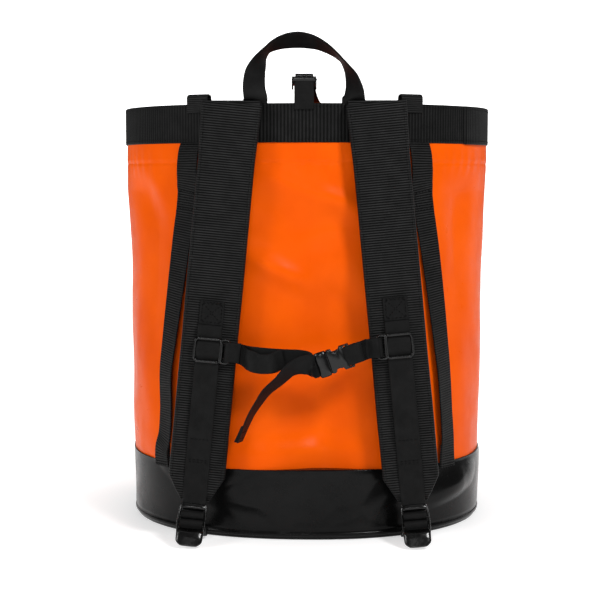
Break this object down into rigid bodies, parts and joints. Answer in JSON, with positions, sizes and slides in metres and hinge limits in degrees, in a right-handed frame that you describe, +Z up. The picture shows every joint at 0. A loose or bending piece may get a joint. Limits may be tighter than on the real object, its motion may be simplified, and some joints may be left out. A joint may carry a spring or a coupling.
{
  "type": "rope storage bag",
  "caption": "Open-topped tarpaulin rope bag with webbing rim, reinforced base, grab handle, padded shoulder straps, clipped sternum strap and top closure strap.",
  "frame": {"origin": "centre of the base's underside, on the floor", "axes": "+Z up the bag, -Y out of the back panel that carries the shoulder straps, +X to the right when facing that panel"},
  "size_m": [0.4058, 0.3987, 0.5207],
  "materials": {
    "tarpaulin_orange": "satin PVC-coated tarpaulin",
    "tarpaulin_black": "semi-gloss PVC-coated tarpaulin",
    "plastic_strip": "matt",
    "webbing_ribbed": "ribbed webbing",
    "webbing_smooth": "fine woven webbing",
    "strap_lining": "mesh lining",
    "foam": "closed-cell foam",
    "buckle_plastic": "satin acetal"
  },
  "bodies": {
    "bag": {"body_shell": "tarpaulin_orange", "hem": "tarpaulin_orange", "rim_stiffener": "plastic_strip", "rim_band": "webbing_ribbed", "base_band": "tarpaulin_black", "base_disc": "tarpaulin_black", "base_piping": "tarpaulin_black", "handle_ends": "webbing_smooth", "rim_loop_left": "webbing_ribbed", "rim_loop_right": "webbing_ribbed", "side_webbing_left": "webbing_ribbed", "side_webbing_right": "webbing_ribbed", "closure_tab": "webbing_smooth", "closure_buckle_female": "buckle_plastic", "closure_strap": "webbing_smooth", "strap_anchor_left": "webbing_ribbed", "strap_anchor_right": "webbing_ribbed", "adjuster_left": "webbing_smooth", "adjuster_right": "webbing_smooth"},
    "handle": {"handle": "webbing_smooth"},
    "left_shoulder": {"strap_face_left": "webbing_ribbed", "strap_foam_left": "foam", "strap_lining_left": "strap_lining", "rail_left": "webbing_smooth"},
    "right_shoulder": {"strap_face_right": "webbing_ribbed", "strap_foam_right": "foam", "strap_lining_right": "strap_lining", "rail_right": "webbing_smooth"},
    "left_slider": {"slider_left": "buckle_plastic"},
    "right_slider": {"slider_right": "buckle_plastic", "sternum_webbing_right": "webbing_smooth", "sternum_buckle_female": "buckle_plastic"},
    "sternum_web": {"sternum_webbing_left": "webbing_smooth"},
    "sternum_male": {"sternum_buckle_male": "buckle_plastic", "sternum_tail": "webbing_smooth"},
    "left_lock": {"ladder_lock_left": "buckle_plastic"},
    "right_lock": {"ladder_lock_right": "buckle_plastic"},
    "closure_male": {"closure_buckle_male": "buckle_plastic"}
  },
  "joints": [
    {"name": "handle_fold", "type": "hinge", "parent": "bag", "child": "handle", "pos_m": [0, -0.161, 0.454], "axis": [-1, 0, 0], "range_deg": [-65, 45]},
    {"name": "left_shoulder_swing", "type": "hinge", "parent": "bag", "child": "left_shoulder", "pos_m": [0, -0.167, 0.449], "axis": [-1, 0, 0], "range_deg": [0, 20], "deforming": ["adjuster_left"]},
    {"name": "right_shoulder_swing", "type": "hinge", "parent": "bag", "child": "right_shoulder", "pos_m": [0, -0.167, 0.449], "axis": [-1, 0, 0], "range_deg": [0, 20], "deforming": ["adjuster_right"]},
    {"name": "left_slider_slide", "type": "slide", "parent": "left_shoulder", "child": "left_slider", "axis": [-0.0958, -0.0261, -0.9951], "range_m": [-0.012, 0.09]},
    {"name": "right_slider_slide", "type": "slide", "parent": "right_shoulder", "child": "right_slider", "axis": [0.0958, -0.0261, -0.9951], "range_m": [-0.012, 0.09]},
    {"name": "sternum_web_slack", "type": "slide", "parent": "left_slider", "child": "sternum_web", "axis": [1, 0, 0], "range_m": [-0.0024, 0.0173], "deforming": ["sternum_webbing_left"]},
    {"name": "sternum_release", "type": "slide", "parent": "sternum_web", "child": "sternum_male", "axis": [-0.9455, 0, -0.3256], "range_m": [0, 0.03]},
    {"name": "left_lock_tilt", "type": "hinge", "parent": "left_shoulder", "child": "left_lock", "pos_m": [-0.11273, -0.1882, 0.03682], "axis": [-0.9954, 0.0025, 0.0958], "range_deg": [0, 50]},
    {"name": "right_lock_tilt", "type": "hinge", "parent": "right_shoulder", "child": "right_lock", "pos_m": [0.11273, -0.1882, 0.03682], "axis": [-0.9954, -0.0025, -0.0958], "range_deg": [0, 50]},
    {"name": "closure_release", "type": "slide", "parent": "bag", "child": "closure_male", "axis": [0, 1, 0], "range_m": [0, 0.025], "deforming": ["closure_strap"]}
  ],
  "couplings": [
    {"joint": "right_shoulder_swing", "follows": "left_shoulder_swing", "ratio": 1},
    {"joint": "right_slider_slide", "follows": "left_slider_slide", "ratio": 1},
    {"joint": "sternum_web_slack", "follows": "left_slider_slide", "ratio": 0.19169}
  ]
}
